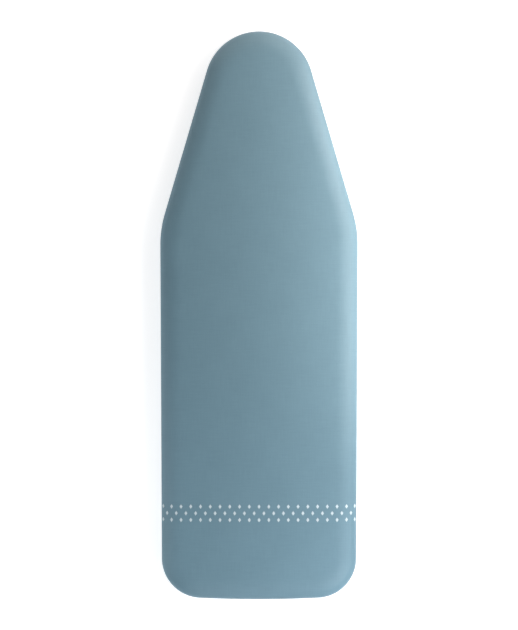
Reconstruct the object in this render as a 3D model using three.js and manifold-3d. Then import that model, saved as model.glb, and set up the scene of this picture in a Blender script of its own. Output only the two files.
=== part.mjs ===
// Padded ironing board cover, shaped as it sits when it is drawn tight over a board.
// The nose points along +Y and the ironing face looks up along +Z. The origin is at the middle of
// the plan outline, on the surface that the hem rests on. All sizes are in millimetres.

import * as THREE from "three";
import Module from "manifold-3d";
import { mergeVertices } from "three/addons/utils/BufferGeometryUtils.js";

const wasm = await Module();
wasm.setup();

// Plan outline
const LENGTH = 1200; // nose tip to the middle of the tail edge
const TAIL_WIDTH = 411; // across the tail, above its corners
const SHOULDER_FLARE = 3.3; // how far each shoulder, the widest place, stands out past the tail's side
const NOSE_RADIUS = 115;
const TAPER_DEGREES = 16.4; // slant of the nose's sides from the centre line
const SHOULDER_RADIUS = 230;
const CORNER_RADIUS = 84;
const TAIL_RADIUS = 2600; // the tail edge bows out a little

// Layers of the padded face, from the outside in
const CLOTH = 1; // face cloth
const FOAM = 3; // foam that is bonded behind the cloth
const FELT = 4.4; // felt at the start of the edge roll
const CROWN = 5; // how much thicker the felt is along the middle
const FELT_INSET = 20; // outline to the felt's pinched edge
const GAP = 0.3; // between pieces that lie on each other

// Edge of the face, where the cloth turns down over the board's rim and back under it
const ROLL_WIDTH = 46;
const ROLL_DROP = 20;
const BOARD_THICKNESS = 21; // room for the board between the felt and the flap
const UNDER_RADIUS = 7; // where the cloth turns under the board
const HEM_INSET = 44; // outline to the cord's line in the hem

// Hem casing, a gathered tape tunnel that carries the drawcord
const CORD_DIAMETER = 3;
const CORD_CLEARANCE = 0.3; // round the cord in every hole that it passes
const CASING_WALL = 2.9; // bunched tape round the cord
const TAPE = 0.8; // single tape, where it is sewn under the flap
const TAPE_LAP = 14; // from the cord's line out to the tape's sewn edge
const CASING_MOUTH = 34; // between the casing's two ends at the tail

// Cord route from the casing's ends to the lock
const BEND_RADIUS = 9;
const CORD_SPLIT = 0.5; // between the two cords in the lock
const LOCK_STANDOFF = 3; // end of the bends to the lock
const LOCK_TRAVEL = 24; // how far the lock slides along the cords
const STOP_CLEARANCE = 3; // lock to cord end when it has slid all the way

// Cord lock
const LOCK_WALL = 1.4;
const LOCK_CORNER = 2.6; // rounding along the lock's long edges
const PLUNGER_TRAVEL = 4;
const PLUNGER_WALL = 1.05; // above and below the plunger's slot
const PLUNGER_DEPTH = 9.4; // along the cords
const PLUNGER_END = 1.8; // from the slot to the spring's seat
const HEAD_LENGTH = 3.8; // the part that a thumb presses
const HEAD_CLEARANCE = 0.5; // head to lock when it is pressed all the way
const SPRING_LENGTH = 9;
const SPRING_RADIUS = 2.1; // to the middle of the wire
const SPRING_WIRE = 0.7;
const SPRING_TURNS = 5;

// Cord end, a moulded bell that both cords end in
const CORD_END_LENGTH = 14;
const CORD_END_WALL = 1.7;
const CORD_END_TAPER = 1.6; // each side narrows by this towards the far end
const CORD_SOCKET = 9; // depth of each cord's socket

// How finely round shapes are faceted
const TAIL_STEPS = 2;
const CORNER_STEPS = 9;
const SHOULDER_STEPS = 4;
const NOSE_STEPS = 10;
const ROLL_STEPS = 7;
const UNDER_STEPS = 3;
const BEND_STEPS = 6;
const CORD_SIDES = 8;
const CASING_SIDES = 12;
const CROWN_SHARES = [0.86, 0.6, 0.3]; // rings of the crown, as shares of the way in to the spine

// Sizes that follow from the ones above
const casingRadius = CORD_DIAMETER / 2 + CORD_CLEARANCE + CASING_WALL;
const cordZ = casingRadius;
const flapUnder = 2 * casingRadius + GAP;
const feltUnder = flapUnder + CLOTH + GAP + BOARD_THICKNESS + GAP;
const foamDepth = CLOTH + GAP; // below the ironing face
const feltDepth = foamDepth + FOAM + GAP;
const rollTop = feltUnder + FELT + feltDepth;
const hemY = -LENGTH / 2 + HEM_INSET;
const cordOffset = (CORD_DIAMETER + CORD_SPLIT) / 2; // cord to the centre line, in the lock
const slotHeight = CORD_DIAMETER + 2 * CORD_CLEARANCE;
const pinchHalf = cordOffset + CORD_DIAMETER / 2 + CORD_CLEARANCE; // half the gap that the lock leaves
const plungerHeight = slotHeight + 2 * PLUNGER_WALL;
const lockDepth = PLUNGER_DEPTH + 2 * (GAP + LOCK_WALL);
const lockHeight = plungerHeight + 2 * (GAP + LOCK_WALL);
const lockY = hemY + BEND_RADIUS + LOCK_STANDOFF + lockDepth / 2;
const cordEndY = lockY + lockDepth / 2 + LOCK_TRAVEL + STOP_CLEARANCE;

// Materials
const material = (color, roughness, metalness = 0) =>
  new THREE.MeshStandardMaterial({ color, roughness, metalness });
const blueCotton = material(0x7793a0, 0.75);
const paleFoam = material(0xe8e2cf, 0.95);
const greyFelt = material(0xc9c6bd, 0.98);
const slateTape = material(0x5d7480, 0.85);
const greyCord = material(0xd4d6d6, 0.8);
const darkPlastic = material(0x3b4348, 0.45);
const springSteel = material(0xb4b6b8, 0.3, 1);

// The right half of the outline is four arcs, from the middle of the tail to the nose tip.
// Straight lines join them, so each arc starts at the angle of the outward normal where the last ended.
function outlineArcs() {
  const taper = THREE.MathUtils.degToRad(TAPER_DEGREES);
  const nose = new THREE.Vector2(0, LENGTH / 2 - NOSE_RADIUS);
  const shoulderX = TAIL_WIDTH / 2 + SHOULDER_FLARE - SHOULDER_RADIUS;
  const alongTaper = NOSE_RADIUS - SHOULDER_RADIUS - shoulderX * Math.cos(taper);
  const shoulder = new THREE.Vector2(shoulderX, nose.y + alongTaper / Math.sin(taper));
  const tail = new THREE.Vector2(0, TAIL_RADIUS - LENGTH / 2);
  const cornerX = TAIL_WIDTH / 2 - CORNER_RADIUS;
  const cornerToTail = TAIL_RADIUS - CORNER_RADIUS;
  const tailSpread = Math.asin(cornerX / cornerToTail);
  const corner = new THREE.Vector2(cornerX, tail.y - cornerToTail * Math.cos(tailSpread));
  // The side line touches both the shoulder's and the corner's circle.
  const between = shoulder.clone().sub(corner);
  const lean = Math.acos((CORNER_RADIUS - SHOULDER_RADIUS) / between.length()) - between.angle();
  const down = -Math.PI / 2;
  return [
    { centre: tail, radius: TAIL_RADIUS, from: down, to: down + tailSpread, steps: TAIL_STEPS },
    { centre: corner, radius: CORNER_RADIUS, from: down + tailSpread, to: -lean, steps: CORNER_STEPS },
    { centre: shoulder, radius: SHOULDER_RADIUS, from: -lean, to: taper, steps: SHOULDER_STEPS },
    { centre: nose, radius: NOSE_RADIUS, from: taper, to: Math.PI / 2, steps: NOSE_STEPS },
  ];
}

// A place on a plan line: a point and the direction that faces out from it.
const place = (x, y, nx, ny) => ({ x, y, nx, ny });
const inward = (s, inset) => place(s.x - s.nx * inset, s.y - s.ny * inset, s.nx, s.ny);

function arcPlaces({ centre, radius, from, to, steps }) {
  const places = [];
  for (let i = 0; i <= steps; i++) {
    const angle = from + ((to - from) * i) / steps;
    const [nx, ny] = [Math.cos(angle), Math.sin(angle)];
    places.push(place(centre.x + radius * nx, centre.y + radius * ny, nx, ny));
  }
  return places;
}

// Places round the outline, counter-clockwise from the tail. tailGap leaves that much open at the
// middle of the tail, measured at the inset; without it the line is a closed loop.
function outlinePlaces(tailGap = 0, inset = 0) {
  const arcs = outlineArcs();
  arcs[0].from += Math.asin(tailGap / 2 / (TAIL_RADIUS - inset));
  const right = arcs.flatMap(arcPlaces).map((s) => inward(s, inset));
  const left = right.slice(0, -1).reverse();
  const loop = [...right, ...left.map((s) => place(-s.x, s.y, -s.nx, s.ny))];
  return tailGap > 0 ? loop : loop.slice(0, -1);
}

const outline = outlinePlaces();
const spineTail = -LENGTH / 2 + TAIL_WIDTH / 2;
const spineNose = LENGTH / 2 - NOSE_RADIUS;

// A ring of points at an inset from the outline and a height.
const edgeRing = (inset, z) =>
  outline.map((s) => new THREE.Vector3(s.x - s.nx * inset, s.y - s.ny * inset, z));

// A ring inside the edge roll, a share of the way in to the spine along the cover's middle.
const crownRing = (share, z) =>
  edgeRing(ROLL_WIDTH, z).map((p) => {
    const y = THREE.MathUtils.clamp(p.y, spineTail, spineNose);
    return p.lerp(new THREE.Vector3(0, y, z), share);
  });

// Rings of the crowned middle at a depth below the ironing face, from the spine outwards.
const crownRings = (depth) =>
  CROWN_SHARES.map((share) => crownRing(share, rollTop + CROWN * (1 - (1 - share) ** 2) - depth));

// Rings of the edge roll at a depth below the ironing face. The roll is a quarter of an ellipse.
function rollRings(depth, lastAngle = Math.PI / 2) {
  const rings = [];
  for (let i = 0; i <= ROLL_STEPS; i++) {
    const angle = (lastAngle * i) / ROLL_STEPS;
    const [sin, cos] = [Math.sin(angle), Math.cos(angle)];
    const normal = new THREE.Vector2(sin / ROLL_WIDTH, cos / ROLL_DROP).normalize();
    const inset = ROLL_WIDTH * (1 - sin) + normal.x * depth;
    rings.push(edgeRing(inset, rollTop - ROLL_DROP * (1 - cos) - normal.y * depth));
  }
  return rings;
}

// Rings of the turn under the board, at a depth inside the cloth.
function underRings(depth) {
  const rings = [];
  for (let i = 0; i <= UNDER_STEPS; i++) {
    const angle = (Math.PI / 2) * (i / UNDER_STEPS);
    const radius = UNDER_RADIUS - depth;
    const inset = UNDER_RADIUS - radius * Math.cos(angle);
    rings.push(edgeRing(inset, flapUnder + UNDER_RADIUS - radius * Math.sin(angle)));
  }
  return rings;
}

// Triangles that fill a flat outline, counter-clockwise, with an optional hole.
function fillOutline(contour, hole = []) {
  const points = [...contour, ...hole];
  return THREE.ShapeUtils.triangulateShape(contour, hole.length ? [hole] : []).map(([a, b, c]) =>
    THREE.ShapeUtils.area([points[a], points[b], points[c]]) > 0 ? [a, b, c] : [a, c, b],
  );
}

function meshGeometry(points, triangles) {
  const geometry = new THREE.BufferGeometry().setFromPoints(points);
  geometry.setIndex(triangles.flat());
  return geometry;
}

// A closed skin over rings of equal counts, with a flat cap on the first ring and on the last.
// Each ring runs counter-clockwise, and the first cap faces up. Each four-sided patch is split across
// its shorter diagonal, so that skins that lie on each other are split alike.
function loft(rings) {
  const count = rings[0].length;
  const points = rings.flat();
  const triangles = [];
  for (let r = 0; r + 1 < rings.length; r++) {
    for (let i = 0; i < count; i++) {
      const [a, b] = [r * count + i, r * count + ((i + 1) % count)];
      const [c, d] = [a + count, b + count];
      const shorter = points[a].distanceTo(points[d]) < points[b].distanceTo(points[c]);
      triangles.push(...(shorter ? [[a, c, d], [a, d, b]] : [[a, c, b], [b, c, d]]));
    }
  }
  const flat = (ring) => ring.map((p) => new THREE.Vector2(p.x, p.y));
  const last = (rings.length - 1) * count;
  triangles.push(...fillOutline(flat(rings[0])));
  triangles.push(...fillOutline(flat(rings.at(-1))).map(([a, b, c]) => [last + a, last + c, last + b]));
  return meshGeometry(points, triangles);
}

// A bar along places on a plan line. Section points are (distance in from the line, height),
// counter-clockwise as seen from the bar's far end. A hole runs right through, and its points clockwise.
function sweep(places, contour, hole = []) {
  const section = [...contour, ...hole];
  const points = places.flatMap((s) =>
    section.map((p) => new THREE.Vector3(s.x - s.nx * p.x, s.y - s.ny * p.x, p.y)),
  );
  const triangles = [];
  const wall = (first, count, row) => {
    for (let i = 0; i < count; i++) {
      const [a, b] = [row + first + i, row + first + ((i + 1) % count)];
      triangles.push([a, b, b + section.length], [a, b + section.length, a + section.length]);
    }
  };
  for (let k = 0; k + 1 < places.length; k++) {
    wall(0, contour.length, k * section.length);
    wall(contour.length, hole.length, k * section.length);
  }
  const ends = fillOutline(contour, hole);
  const last = (places.length - 1) * section.length;
  triangles.push(...ends.map(([a, b, c]) => [a, c, b]), ...ends.map((t) => t.map((i) => last + i)));
  return meshGeometry(points, triangles);
}

// A regular polygon round a section point. It has a flat at the bottom, and its flats touch the radius.
function roundSection(centre, radius, sides) {
  const corner = radius / Math.cos(Math.PI / sides);
  return Array.from({ length: sides }, (_, i) => {
    const angle = (2 * Math.PI * (i + 0.5)) / sides - Math.PI / 2;
    return new THREE.Vector2(centre.x + corner * Math.cos(angle), centre.y + corner * Math.sin(angle));
  });
}

// Solids for cutting and joining
function solid(geometry) {
  const bare = geometry.clone();
  bare.deleteAttribute("normal");
  bare.deleteAttribute("uv");
  const merged = mergeVertices(bare, 1e-4);
  const vertProperties = merged.getAttribute("position").array;
  const triVerts = new Uint32Array(merged.index.array);
  return new wasm.Manifold(new wasm.Mesh({ numProp: 3, vertProperties, triVerts }));
}

function geometryOf(manifold) {
  const mesh = manifold.getMesh();
  const geometry = new THREE.BufferGeometry();
  geometry.setAttribute("position", new THREE.BufferAttribute(mesh.vertProperties, 3));
  geometry.setIndex(new THREE.BufferAttribute(mesh.triVerts, 1));
  return geometry;
}

// A rectangle with round corners, centred on the origin.
function roundedRectangle(width, height, radius) {
  const [x, y, r] = [width / 2, height / 2, radius];
  const shape = new THREE.Shape();
  shape.moveTo(x, r - y);
  shape.absarc(x - r, y - r, r, 0, Math.PI / 2);
  shape.absarc(r - x, y - r, r, Math.PI / 2, Math.PI);
  shape.absarc(r - x, r - y, r, Math.PI, 1.5 * Math.PI);
  shape.absarc(x - r, r - y, r, 1.5 * Math.PI, 2 * Math.PI);
  return shape;
}

// A bar along X from one x to another, with a rounded section and softened ends.
function barAlongX(from, to, depth, height, corner, softened) {
  const shape = roundedRectangle(depth - 2 * softened, height - 2 * softened, corner - softened);
  const geometry = new THREE.ExtrudeGeometry(shape, {
    depth: to - from - 2 * softened,
    curveSegments: 4,
    bevelEnabled: softened > 0,
    bevelThickness: softened,
    bevelSize: softened,
    bevelSegments: 2,
  });
  geometry.translate(0, 0, from + softened);
  // The section's width turns to Y, its height to Z and its depth to X.
  return geometry.applyMatrix4(new THREE.Matrix4().set(0, 0, 1, 0, 1, 0, 0, 0, 0, 1, 0, 0, 0, 0, 0, 1));
}

// The slot along Y that the two cords pass through, from one x to another.
function cordSlot(from, to) {
  const shape = roundedRectangle(to - from, slotHeight, slotHeight / 2);
  const length = 2 * lockDepth;
  const geometry = new THREE.ExtrudeGeometry(shape, { depth: length, curveSegments: 4, bevelEnabled: false });
  geometry.translate((from + to) / 2, 0, -length / 2);
  return geometry.rotateX(Math.PI / 2);
}

// Face cloth: one panel over the face, round the edge and back under the board to the hem
function faceCloth() {
  const outer = [...crownRings(0), ...rollRings(0), ...underRings(0), edgeRing(HEM_INSET, flapUnder)];
  const inner = [
    ...crownRings(CLOTH),
    ...rollRings(CLOTH),
    ...underRings(CLOTH),
    edgeRing(HEM_INSET, flapUnder + CLOTH),
  ];
  return loft([...outer, ...inner.reverse()]);
}

// Foam layer: an even sheet that follows the cloth down to the outline
function foamLayer() {
  const outer = [...crownRings(foamDepth), ...rollRings(foamDepth)];
  const inner = [...crownRings(foamDepth + FOAM), ...rollRings(foamDepth + FOAM)];
  return loft([...outer, ...inner.reverse()]);
}

// Felt pad: flat on the board, crowned above, pinched thin at its edge
function feltPad() {
  const edgeAngle = Math.asin(1 - FELT_INSET / ROLL_WIDTH);
  const top = [...crownRings(feltDepth), ...rollRings(feltDepth, edgeAngle)];
  const foot = top.at(-1).map((p) => new THREE.Vector3(p.x, p.y, feltUnder));
  return loft([...top, foot]);
}

// Hem casing: a round tunnel for the cord, with a single tape that laps under the flap
function hemCasing() {
  const centre = new THREE.Vector2(HEM_INSET, cordZ);
  const round = roundSection(centre, casingRadius, CASING_SIDES);
  const top = 2 * casingRadius;
  const upper = CASING_SIDES / 2; // index of the top flat's outer corner
  const [high, low] = [round[upper], round[upper + 1]];
  const joint = high.clone().lerp(low, TAPE / (high.y - low.y));
  const lapEdge = HEM_INSET - TAPE_LAP;
  const tape = [new THREE.Vector2(lapEdge, top), new THREE.Vector2(lapEdge, top - TAPE), joint];
  const contour = [...round.slice(0, upper), ...tape, ...round.slice(upper + 1)];
  const tunnel = roundSection(centre, CORD_DIAMETER / 2 + CORD_CLEARANCE, CORD_SIDES).reverse();
  return sweep(outlinePlaces(CASING_MOUTH, HEM_INSET).map((s) => inward(s, -HEM_INSET)), contour, tunnel);
}

// Drawcord: from the cord end through the lock, round the whole hem, and back beside itself
function drawcord() {
  const endY = cordEndY + CORD_SOCKET - GAP;
  const bendX = cordOffset + BEND_RADIUS;
  const bend = arcPlaces({
    centre: new THREE.Vector2(bendX, hemY + BEND_RADIUS),
    radius: BEND_RADIUS,
    from: Math.PI,
    to: 1.5 * Math.PI,
    steps: BEND_STEPS,
  });
  const start = [place(cordOffset, endY, -1, 0), ...bend];
  const finish = start.map((s) => place(-s.x, s.y, -s.nx, s.ny)).reverse();
  const round = outlinePlaces(CASING_MOUTH, HEM_INSET);
  const section = roundSection(new THREE.Vector2(0, cordZ), CORD_DIAMETER / 2, CORD_SIDES);
  return sweep([...start, ...round, ...finish], section);
}

// Cord lock body: a box that is open at one end for the plunger, with the cords' slot across it
function lockBody() {
  const mouth = pinchHalf + LOCK_WALL;
  const floor = -pinchHalf - PLUNGER_END - 2 * GAP - SPRING_LENGTH;
  const hollow = plungerHeight + 2 * GAP;
  const shell = barAlongX(floor - LOCK_WALL, mouth, lockDepth, lockHeight, LOCK_CORNER, 0.6);
  const cavity = barAlongX(floor, mouth + LOCK_WALL, PLUNGER_DEPTH + 2 * GAP, hollow, LOCK_CORNER - 1, 0);
  const slot = cordSlot(-pinchHalf - PLUNGER_TRAVEL, pinchHalf);
  return geometryOf(solid(shell).subtract(solid(cavity)).subtract(solid(slot)));
}

// Cord lock plunger: pushed out by the spring, so that its slot pinches the cords
function lockPlunger() {
  const headStart = pinchHalf + LOCK_WALL + PLUNGER_TRAVEL + HEAD_CLEARANCE;
  const seat = -pinchHalf - PLUNGER_END;
  const shaft = barAlongX(seat, headStart + 1, PLUNGER_DEPTH, plungerHeight, LOCK_CORNER - 1, 0);
  const headDepth = lockDepth - LOCK_WALL;
  const headHeight = lockHeight - LOCK_WALL;
  const head = barAlongX(headStart, headStart + HEAD_LENGTH, headDepth, headHeight, LOCK_CORNER, 0.8);
  const slot = cordSlot(-pinchHalf, pinchHalf + PLUNGER_TRAVEL);
  return geometryOf(solid(shaft).add(solid(head)).subtract(solid(slot)));
}

// Cord lock spring: a plain coil between the lock's floor and the plunger
class Coil extends THREE.Curve {
  getPoint(t, target = new THREE.Vector3()) {
    const angle = 2 * Math.PI * SPRING_TURNS * t;
    const run = SPRING_LENGTH - SPRING_WIRE;
    return target.set(
      SPRING_WIRE / 2 + run * t,
      SPRING_RADIUS * Math.cos(angle),
      SPRING_RADIUS * Math.sin(angle),
    );
  }
}

function lockSpring() {
  const wire = new THREE.Shape().absarc(0, 0, SPRING_WIRE / 2, 0, 2 * Math.PI);
  const geometry = new THREE.ExtrudeGeometry(wire, {
    steps: SPRING_TURNS * 12,
    curveSegments: 3,
    extrudePath: new Coil(),
  });
  return geometry.translate(-pinchHalf - PLUNGER_END - GAP - SPRING_LENGTH, 0, 0);
}

// Cord end: a tapered bell with a socket for each cord
function cordEnd() {
  const nearHalf = pinchHalf + CORD_END_WALL;
  const farHalf = nearHalf - CORD_END_TAPER;
  const height = slotHeight + 2 * CORD_END_WALL;
  const soft = 0.8;
  const shape = new THREE.Shape();
  shape.moveTo(soft - nearHalf, soft);
  shape.lineTo(nearHalf - soft, soft);
  shape.lineTo(farHalf - soft, CORD_END_LENGTH - soft);
  shape.lineTo(soft - farHalf, CORD_END_LENGTH - soft);
  const bell = new THREE.ExtrudeGeometry(shape, {
    depth: height - 2 * soft,
    bevelThickness: soft,
    bevelSize: soft,
    bevelSegments: 3,
  });
  bell.translate(0, 0, soft - height / 2);
  let body = solid(bell);
  for (const x of [-cordOffset, cordOffset]) {
    const radius = (CORD_DIAMETER / 2 + CORD_CLEARANCE / 2) / Math.cos(Math.PI / CORD_SIDES);
    const socket = new THREE.CylinderGeometry(radius, radius, 2 * CORD_SOCKET, CORD_SIDES);
    socket.rotateY(Math.PI / CORD_SIDES);
    body = body.subtract(solid(socket.translate(x, 0, 0)));
  }
  return geometryOf(body);
}

// Assembly
const cover = new THREE.Group();

function addPiece(parent, name, geometry, finish) {
  const mesh = new THREE.Mesh(geometry, finish);
  mesh.name = name;
  parent.add(mesh);
  return mesh;
}

addPiece(cover, "face_cloth", faceCloth(), blueCotton);
addPiece(cover, "foam_layer", foamLayer(), paleFoam);
addPiece(cover, "felt_pad", feltPad(), greyFelt);
addPiece(cover, "hem_casing", hemCasing(), slateTape);
addPiece(cover, "drawcord", drawcord(), greyCord);
addPiece(cover, "cord_end", cordEnd(), darkPlastic).position.set(0, cordEndY, cordZ);

const cordLock = new THREE.Group();
cordLock.position.set(0, lockY, cordZ);
cover.add(cordLock);
addPiece(cordLock, "cord_lock_body", lockBody(), darkPlastic);
addPiece(cordLock, "cord_lock_plunger", lockPlunger(), darkPlastic);
addPiece(cordLock, "cord_lock_spring", lockSpring(), springSteel);

export default cover;
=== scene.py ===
import math

import bmesh
import bpy
import numpy as np
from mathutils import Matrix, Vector


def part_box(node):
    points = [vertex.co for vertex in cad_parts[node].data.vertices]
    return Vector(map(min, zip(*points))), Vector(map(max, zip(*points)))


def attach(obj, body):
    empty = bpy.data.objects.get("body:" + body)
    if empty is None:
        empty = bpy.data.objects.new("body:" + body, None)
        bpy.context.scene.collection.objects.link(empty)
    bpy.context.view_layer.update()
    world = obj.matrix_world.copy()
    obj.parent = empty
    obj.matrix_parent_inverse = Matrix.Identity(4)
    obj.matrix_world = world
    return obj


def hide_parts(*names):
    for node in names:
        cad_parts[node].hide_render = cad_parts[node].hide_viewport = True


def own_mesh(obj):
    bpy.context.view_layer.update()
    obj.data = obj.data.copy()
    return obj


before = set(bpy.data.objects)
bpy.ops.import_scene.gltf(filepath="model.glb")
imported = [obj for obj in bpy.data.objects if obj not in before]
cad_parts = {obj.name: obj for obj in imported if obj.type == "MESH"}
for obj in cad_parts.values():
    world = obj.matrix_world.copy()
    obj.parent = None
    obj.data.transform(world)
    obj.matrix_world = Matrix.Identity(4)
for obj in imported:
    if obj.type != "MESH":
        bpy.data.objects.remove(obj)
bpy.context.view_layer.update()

# Felt pad
# A sheet of needle felt that lies flat on the board and gives the face its slight crown.
# It is die-cut to the board's plan, so its edge is square, and it is pinched thin under the edge roll.
LENGTH = 1.2
TAIL_HALF = 0.2055
SHOULDER_FLARE = 0.0033
NOSE_RADIUS = 0.115
TAPER = math.radians(16.4)
SHOULDER_RADIUS = 0.23
CORNER_RADIUS = 0.084
TAIL_RADIUS = 2.6
ROLL_WIDTH = 0.046
ROLL_DROP = 0.02
CROWN = 0.005
SPINE_TAIL = TAIL_HALF - LENGTH / 2
SPINE_NOSE = LENGTH / 2 - NOSE_RADIUS
widest_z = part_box("foam_layer")[0].z


def plan_outline(tail, corner, side, shoulder, taper, nose):
    """Points and outward normals round the plan, counter-clockwise from the middle of the tail.
    Each argument is the number of steps along that stretch of one half."""
    nose_centre = np.array([0, SPINE_NOSE])
    shoulder_x = TAIL_HALF + SHOULDER_FLARE - SHOULDER_RADIUS
    along = NOSE_RADIUS - SHOULDER_RADIUS - shoulder_x * math.cos(TAPER)
    shoulder_centre = np.array([shoulder_x, SPINE_NOSE + along / math.sin(TAPER)])
    tail_centre = np.array([0, TAIL_RADIUS - LENGTH / 2])
    corner_x = TAIL_HALF - CORNER_RADIUS
    spread = math.asin(corner_x / (TAIL_RADIUS - CORNER_RADIUS))
    corner_y = tail_centre[1] - (TAIL_RADIUS - CORNER_RADIUS) * math.cos(spread)
    corner_centre = np.array([corner_x, corner_y])
    between = shoulder_centre - corner_centre
    reach = math.acos((CORNER_RADIUS - SHOULDER_RADIUS) / np.linalg.norm(between))
    lean = reach - math.atan2(between[1], between[0])
    down = -math.pi / 2
    arcs = [
        (tail_centre, TAIL_RADIUS, down, down + spread, tail, 0),
        (corner_centre, CORNER_RADIUS, down + spread, -lean, corner, side),
        (shoulder_centre, SHOULDER_RADIUS, -lean, TAPER, shoulder, taper),
        (nose_centre, NOSE_RADIUS, TAPER, math.pi / 2, nose, 0),
    ]
    points, normals = [], []
    for i, (centre, radius, start, end, steps, straight) in enumerate(arcs):
        # The tail's arc runs on into the corner's, so the point that they share is kept once.
        angles = np.linspace(start, end, steps + 1)[1 if i == 1 else 0 :]
        facing = np.column_stack([np.cos(angles), np.sin(angles)])
        points.append(centre + radius * facing)
        normals.append(facing)
        if straight:
            next_centre, next_radius = arcs[i + 1][:2]
            ends = points[-1][-1], next_centre + next_radius * facing[-1]
            shares = np.linspace(0, 1, straight + 1)[1:-1, None]
            points.append(ends[0] + (ends[1] - ends[0]) * shares)
            normals.append(np.repeat(facing[-1:], straight - 1, axis=0))
    right, facing = np.concatenate(points), np.concatenate(normals)
    mirror = np.array([-1, 1])
    left, left_facing = right[-2:0:-1] * mirror, facing[-2:0:-1] * mirror
    return np.concatenate([right, left]), np.concatenate([facing, left_facing])


def nearest_spine(points):
    """The place on the plan's spine that each point is drawn towards."""
    return np.column_stack([np.zeros(len(points)), np.clip(points[:, 1], SPINE_TAIL, SPINE_NOSE)])


def crowned(way_in):
    """How much the face swells at a share of the way in from the outline to the spine."""
    return CROWN * (1 - (1 - way_in) ** 2)


def face_rings(plan, depth, shares, insets):
    """Rings of the crowned face at a depth below its top, from the spine out over the edge roll.
    shares are shares of the way in from the roll to the spine; insets lie within the roll."""
    start = plan[0] - plan[1] * ROLL_WIDTH
    spine = nearest_spine(start)
    run = ROLL_WIDTH + np.linalg.norm(spine - start, axis=1)
    rings = []
    for share in shares:
        way_in = (ROLL_WIDTH + (run - ROLL_WIDTH) * share) / run
        z = widest_z + ROLL_DROP + crowned(way_in) - depth
        rings.append(np.column_stack([start + (spine - start) * share, z]))
    for inset in insets:
        tilt = math.asin(min(1, 1 - inset / ROLL_WIDTH))
        normal = np.array([math.sin(tilt) / ROLL_WIDTH, math.cos(tilt) / ROLL_DROP])
        normal /= np.linalg.norm(normal)
        z = widest_z + ROLL_DROP * math.cos(tilt) + crowned(inset / run) - normal[1] * depth
        rings.append(np.column_stack([plan[0] - plan[1] * (inset + normal[0] * depth), z]))
    return rings


def ring_faces(rings, count, closed=True):
    """Four-sided faces between rings of equal counts, listed one after another."""
    across = np.arange(count if closed else count - 1)
    following = (across + 1) % count
    rows = np.arange(rings - 1)[:, None] * count
    faces = [rows + across, rows + count + across, rows + count + following, rows + following]
    return np.stack(faces, axis=-1).reshape(-1, 4)


def make_mesh(name, points, faces, uv=None):
    """A mesh from points and faces, with doubled points merged. uv holds one coordinate for each point."""
    mesh = bpy.data.meshes.new(name)
    mesh.from_pydata(np.asarray(points, float).tolist(), [], [list(map(int, f)) for f in faces])
    if uv is not None:
        layer = mesh.uv_layers.new(name="cut")
        corners = np.zeros(len(mesh.loops), np.int32)
        mesh.loops.foreach_get("vertex_index", corners)
        layer.data.foreach_set("uv", np.asarray(uv, np.float32)[corners].ravel())
    built = bmesh.new()
    built.from_mesh(mesh)
    bmesh.ops.remove_doubles(built, verts=built.verts, dist=1e-6)
    built.to_mesh(mesh)
    built.free()
    mesh.validate()
    mesh.shade_smooth()
    return mesh


def ring_mesh(name, rings, uv=None):
    """A mesh whose faces run from each closed ring of points to the next."""
    points = np.array(rings)
    return make_mesh(name, points.reshape(-1, 3), ring_faces(*points.shape[:2]), uv)


def add_piece(mesh, material):
    """A new object at the origin that shows the mesh and has its name."""
    made = bpy.data.objects.new(mesh.name, mesh)
    bpy.context.scene.collection.objects.link(made)
    mesh.materials.clear()
    mesh.materials.append(material)
    return made


class Wire:
    """A socket in a shader's node tree. Arithmetic on wires adds Math nodes to that tree."""

    def __init__(self, tree, socket):
        self.tree = tree
        self.socket = socket

    def node(self, kind, settings=None, inputs=None, output=0):
        """Adds a node, sets it up, feeds its sockets with values or wires, and gives one of its outputs."""
        made = self.tree.nodes.new(kind)
        for key, value in (settings or {}).items():
            if key == "stops":
                ramp = made.color_ramp.elements
                while len(ramp) < len(value):
                    ramp.new(0.5)
                for stop, (place, colour) in zip(ramp, value):
                    stop.position, stop.color = place, (*colour, 1)
            else:
                setattr(made, key, value)
        for key, value in (inputs or {}).items():
            if isinstance(value, Wire):
                self.tree.links.new(value.socket, made.inputs[key])
            else:
                made.inputs[key].default_value = value
        return Wire(self.tree, made.outputs[output])

    def math(self, operation, *values):
        """A Math node on numbers and wires."""
        return self.node("ShaderNodeMath", {"operation": operation}, dict(enumerate(values)))

    def apply(self, operation, *others):
        """A Math node whose first input is this wire."""
        return self.math(operation, self, *others)

    def mix(self, other, factor):
        """This colour at factor 0 and the other at 1."""
        settings = {"data_type": "RGBA", "clamp_factor": True}
        return self.node("ShaderNodeMix", settings, {0: factor, 6: self, 7: other}, 2)

    def shaded(self, stops):
        """The colour that a ramp of stops gives this value."""
        return self.node("ShaderNodeValToRGB", {"stops": stops}, {"Fac": self})

    def raised(self, strength, depth):
        """The normal of a surface that this height raises."""
        return self.node("ShaderNodeBump", {}, {"Height": self, "Strength": strength, "Distance": depth})

    def into(self, socket):
        """Feeds a socket with this wire."""
        self.tree.links.new(self.socket, socket)

    def __add__(self, other):
        return self.math("ADD", self, other)

    def __sub__(self, other):
        return self.math("SUBTRACT", self, other)

    def __rsub__(self, other):
        return self.math("SUBTRACT", other, self)

    def __mul__(self, other):
        return self.math("MULTIPLY", self, other)

    def __truediv__(self, other):
        return self.math("DIVIDE", self, other)

    def __lt__(self, other):
        return self.math("LESS_THAN", self, other)

    def __gt__(self, other):
        return self.math("GREATER_THAN", self, other)

    __radd__ = __add__
    __rmul__ = __mul__


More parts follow.
